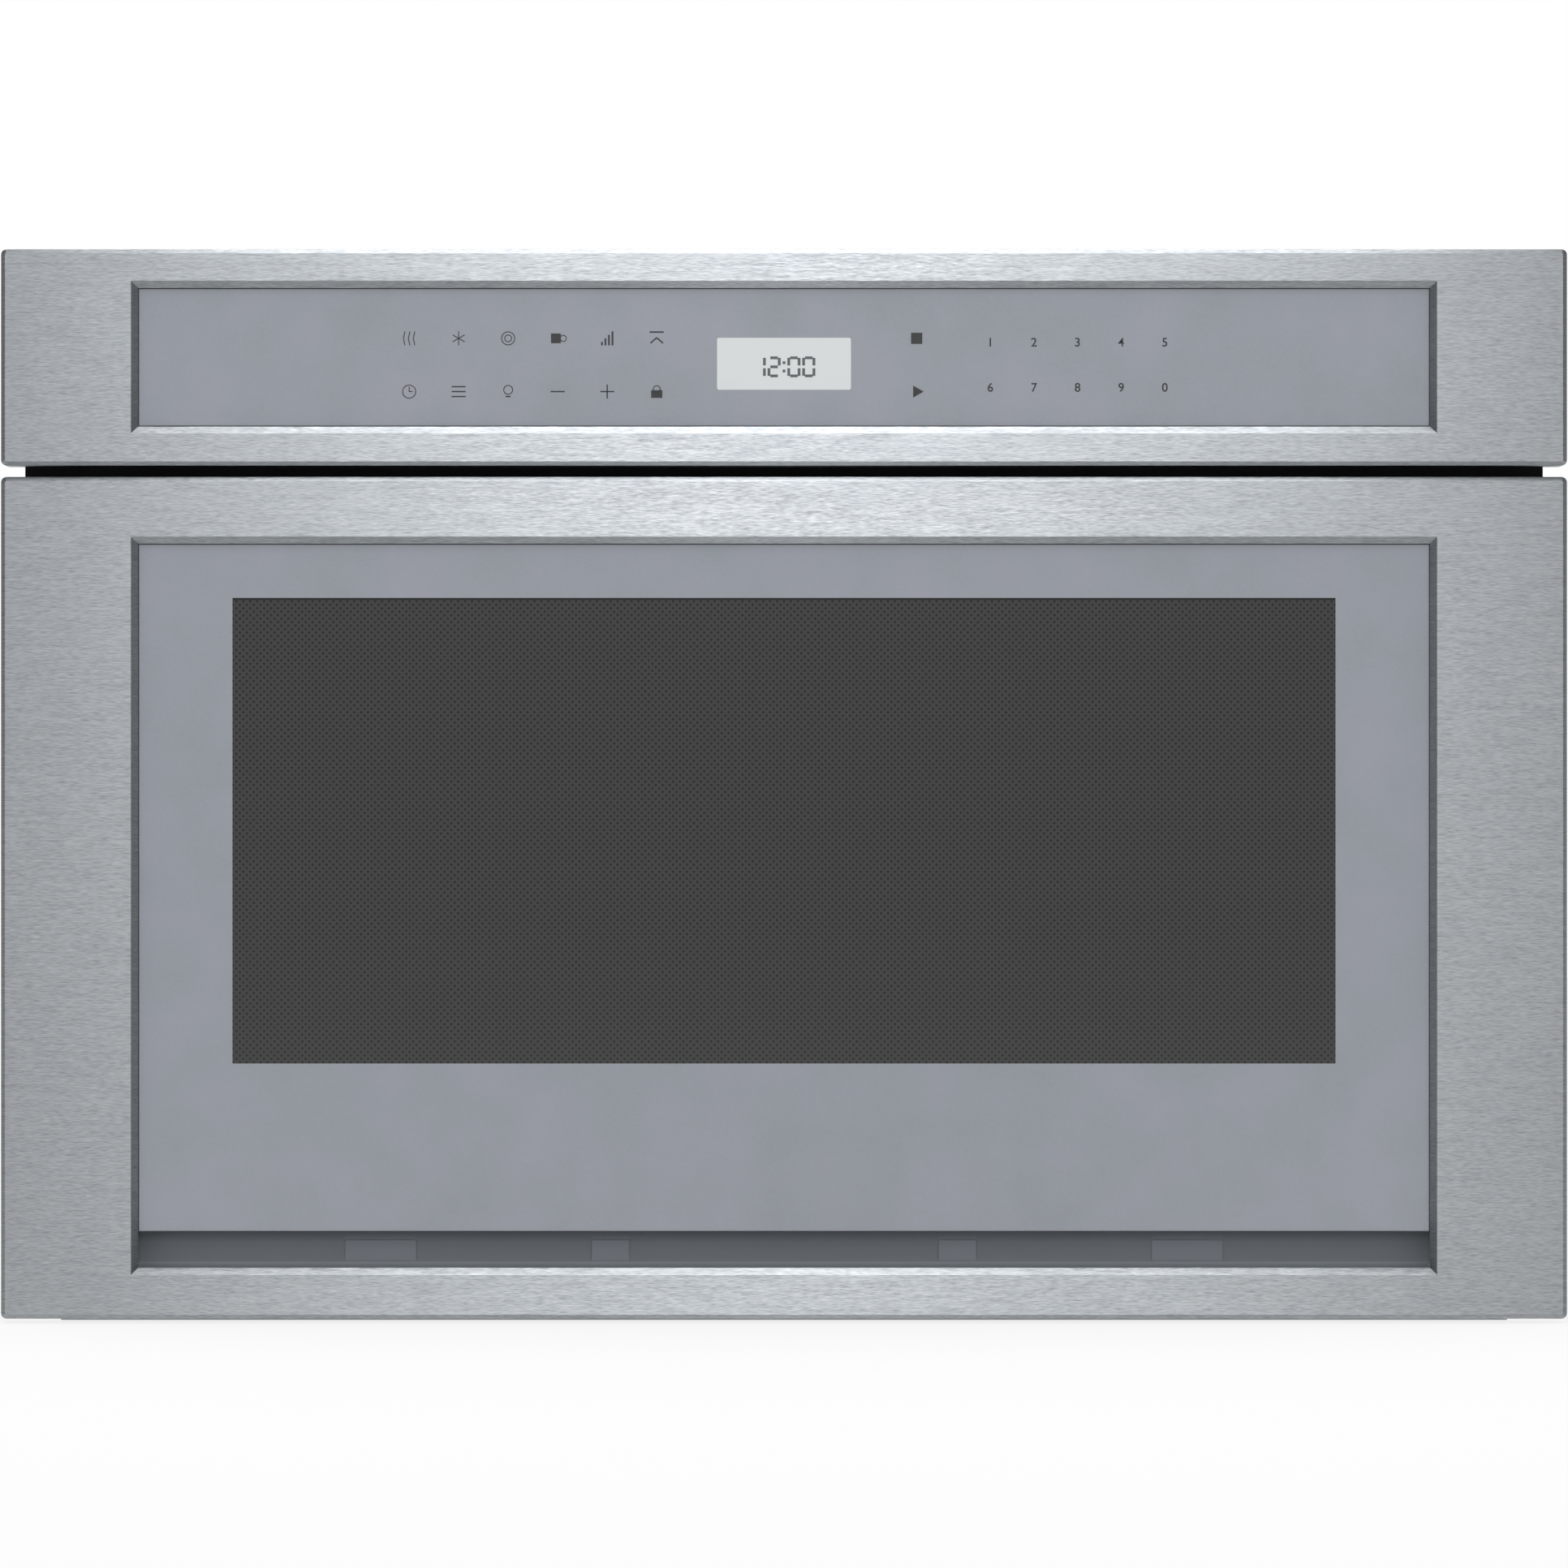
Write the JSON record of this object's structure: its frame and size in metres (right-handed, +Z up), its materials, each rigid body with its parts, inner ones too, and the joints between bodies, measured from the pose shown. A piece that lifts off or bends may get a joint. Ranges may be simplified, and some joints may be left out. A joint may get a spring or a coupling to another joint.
{
  "type": "microwave drawer",
  "caption": "Built-in microwave drawer: brushed steel fronts, glass touch panel, windowed drawer on motor-driven telescopic slides, with its oven cavity and casing.",
  "frame": {"origin": "middle of the whole part's footprint, at the underside of the base pan", "axes": "+Z up, the steel fronts face -Y, +X to the right seen from the front"},
  "size_m": [0.7588, 0.594, 0.52],
  "materials": {
    "brushed_steel": "horizontally brushed stainless steel, satin",
    "panel_glass": "satin blue-grey back-painted glass",
    "clear_glass": "clear tempered glass",
    "window_dark": "dark pierced sheet",
    "black_metal": "matt black powder coat",
    "galvanised": "galvanised sheet steel with a fine spangle",
    "oven_steel": "plain stainless oven sheet",
    "pull_plastic": "dark grey moulded plastic",
    "black_plastic": "matt black moulded plastic",
    "white_plastic": "natural acetal",
    "mica_plastic": "pale stirrer cover",
    "tray_ceramic": "smooth dark glass ceramic",
    "zinc_steel": "zinc plated steel",
    "shaft_steel": "ground steel",
    "iron_core": "varnished laminations",
    "fin_aluminium": "bare aluminium fins",
    "board_green": "solder-masked circuit board",
    "display_lens": "pale liquid crystal display"
  },
  "bodies": {
    "chassis": {"base_pan": "galvanised", "left_side_panel": "galvanised", "right_side_panel": "galvanised", "top_cover": "galvanised", "rear_panel": "galvanised", "cord_bushing": "black_plastic", "face_plate": "black_metal", "oven_cavity": "oven_steel", "cavity_support": "galvanised", "stirrer_cover": "mica_plastic", "stirrer_housing": "galvanised", "waveguide": "galvanised", "magnetron": "fin_aluminium", "stirrer_motor": "black_plastic", "oven_lamp": "galvanised", "fan_frame": "black_plastic", "fan_motor": "iron_core", "air_duct": "galvanised", "transformer": "iron_core", "capacitor": "zinc_steel", "filter_board": "board_green", "control_panel_frame": "brushed_steel", "control_glass": "panel_glass", "display_module": "display_lens", "control_board": "board_green", "slide_outers": "zinc_steel", "drive_motor": "iron_core", "shaft_brackets": "galvanised", "shaft_bushes": "white_plastic", "interlock_brackets": "galvanised", "interlock_switches": "black_plastic"},
    "drawer": {"drawer_front_frame": "brushed_steel", "drawer_glass": "panel_glass", "window_screen": "window_dark", "pull_channel": "pull_plastic", "inner_panel": "black_metal", "inner_glass": "clear_glass", "choke_frame": "oven_steel", "choke_cover": "black_plastic", "drawer_tub": "oven_steel", "ceramic_tray": "tray_ceramic", "interlock_hooks": "black_plastic", "slide_inners": "zinc_steel", "slide_brackets": "galvanised", "racks": "white_plastic"},
    "left_middle": {"left_slide_middle": "zinc_steel"},
    "right_middle": {"right_slide_middle": "zinc_steel"},
    "left_outer_cage": {"left_outer_cage": "zinc_steel"},
    "right_outer_cage": {"right_outer_cage": "zinc_steel"},
    "left_inner_cage": {"left_inner_cage": "zinc_steel"},
    "right_inner_cage": {"right_inner_cage": "zinc_steel"},
    "cross_shaft": {"cross_shaft": "shaft_steel", "pinions": "white_plastic", "shaft_gear": "white_plastic"},
    "motor_pinion": {"motor_pinion": "white_plastic"},
    "fan_impeller": {"fan_impeller": "black_plastic"},
    "stirrer": {"stirrer": "oven_steel"},
    "left_plunger": {"left_plunger": "white_plastic"},
    "right_upper_plunger": {"right_upper_plunger": "white_plastic"},
    "right_lower_plunger": {"right_lower_plunger": "white_plastic"}
  },
  "joints": [
    {"name": "drawer_slide", "type": "slide", "parent": "chassis", "child": "drawer", "axis": [0, -1, 0], "range_m": [0, 0.381]},
    {"name": "left_middle_slide", "type": "slide", "parent": "chassis", "child": "left_middle", "axis": [0, -1, 0], "range_m": [0, 0.1905]},
    {"name": "right_middle_slide", "type": "slide", "parent": "chassis", "child": "right_middle", "axis": [0, -1, 0], "range_m": [0, 0.1905]},
    {"name": "left_outer_cage_slide", "type": "slide", "parent": "chassis", "child": "left_outer_cage", "axis": [0, -1, 0], "range_m": [0, 0.09525]},
    {"name": "right_outer_cage_slide", "type": "slide", "parent": "chassis", "child": "right_outer_cage", "axis": [0, -1, 0], "range_m": [0, 0.09525]},
    {"name": "left_inner_cage_slide", "type": "slide", "parent": "chassis", "child": "left_inner_cage", "axis": [0, -1, 0], "range_m": [0, 0.28575]},
    {"name": "right_inner_cage_slide", "type": "slide", "parent": "chassis", "child": "right_inner_cage", "axis": [0, -1, 0], "range_m": [0, 0.28575]},
    {"name": "shaft_spin", "type": "hinge", "parent": "chassis", "child": "cross_shaft", "pos_m": [0, -0.228, 0.08], "axis": [1, 0, 0], "range_deg": [0, 1092]},
    {"name": "motor_pinion_spin", "type": "hinge", "parent": "chassis", "child": "motor_pinion", "pos_m": [0.06, -0.1905, 0.08], "axis": [1, 0, 0], "range_deg": [-1941, 0]},
    {"name": "fan_spin", "type": "hinge", "parent": "chassis", "child": "fan_impeller", "pos_m": [0, 0.277, 0.42], "axis": [0, -1, 0], "continuous": true},
    {"name": "stirrer_spin", "type": "hinge", "parent": "chassis", "child": "stirrer", "pos_m": [0, -0.0455, 0.346], "axis": [0, 0, 1], "continuous": true},
    {"name": "left_plunger_press", "type": "slide", "parent": "chassis", "child": "left_plunger", "axis": [0, 1, 0], "range_m": [0, 0.0015], "stiffness_N_per_m": 300},
    {"name": "right_upper_plunger_press", "type": "slide", "parent": "chassis", "child": "right_upper_plunger", "axis": [0, 1, 0], "range_m": [0, 0.0015], "stiffness_N_per_m": 300},
    {"name": "right_lower_plunger_press", "type": "slide", "parent": "chassis", "child": "right_lower_plunger", "axis": [0, 1, 0], "range_m": [0, 0.0015], "stiffness_N_per_m": 300}
  ],
  "couplings": [
    {"joint": "left_middle_slide", "follows": "drawer_slide", "ratio": 0.5},
    {"joint": "right_middle_slide", "follows": "drawer_slide", "ratio": 0.5},
    {"joint": "left_outer_cage_slide", "follows": "drawer_slide", "ratio": 0.25},
    {"joint": "right_outer_cage_slide", "follows": "drawer_slide", "ratio": 0.25},
    {"joint": "left_inner_cage_slide", "follows": "drawer_slide", "ratio": 0.75},
    {"joint": "right_inner_cage_slide", "follows": "drawer_slide", "ratio": 0.75},
    {"joint": "shaft_spin", "follows": "drawer_slide", "rad_per_m": 50},
    {"joint": "motor_pinion_spin", "follows": "drawer_slide", "rad_per_m": -88.889}
  ]
}
